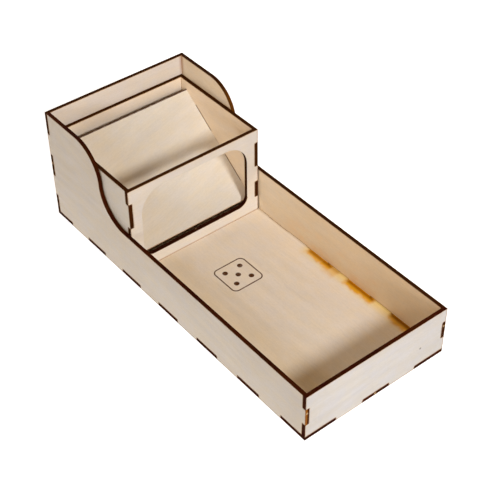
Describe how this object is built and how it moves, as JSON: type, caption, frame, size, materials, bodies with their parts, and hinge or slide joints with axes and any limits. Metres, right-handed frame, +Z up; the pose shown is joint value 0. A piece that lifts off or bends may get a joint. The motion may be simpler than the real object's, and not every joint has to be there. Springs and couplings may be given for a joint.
{
  "type": "dice tower with rolling tray",
  "caption": "Open finger-jointed plywood dice tray with S-curved sides; a lift-out tower with a sloping ramp and a rounded window stands in its tall end.",
  "frame": {"origin": "middle of the tray's footprint, on the surface it stands on", "axes": "+Z up, +X to the right, +Y from the low front wall towards the tall back wall with the tower"},
  "size_m": [0.127, 0.299, 0.0975],
  "materials": {
    "birch_plywood": "laser-cut birch plywood, sanded faces, edges burnt dark brown"
  },
  "bodies": {
    "tray": {"tray_floor": "birch_plywood", "tray_front_wall": "birch_plywood", "tray_back_wall": "birch_plywood", "tray_left_side": "birch_plywood", "tray_right_side": "birch_plywood"},
    "tower": {"tower_front": "birch_plywood", "tower_back": "birch_plywood", "tower_left_side": "birch_plywood", "tower_right_side": "birch_plywood", "tower_ramp": "birch_plywood"}
  },
  "joints": [
    {"name": "tower_lift", "type": "slide", "parent": "tray", "child": "tower", "axis": [0, 0, 1], "range_m": [0, 0.12]}
  ]
}
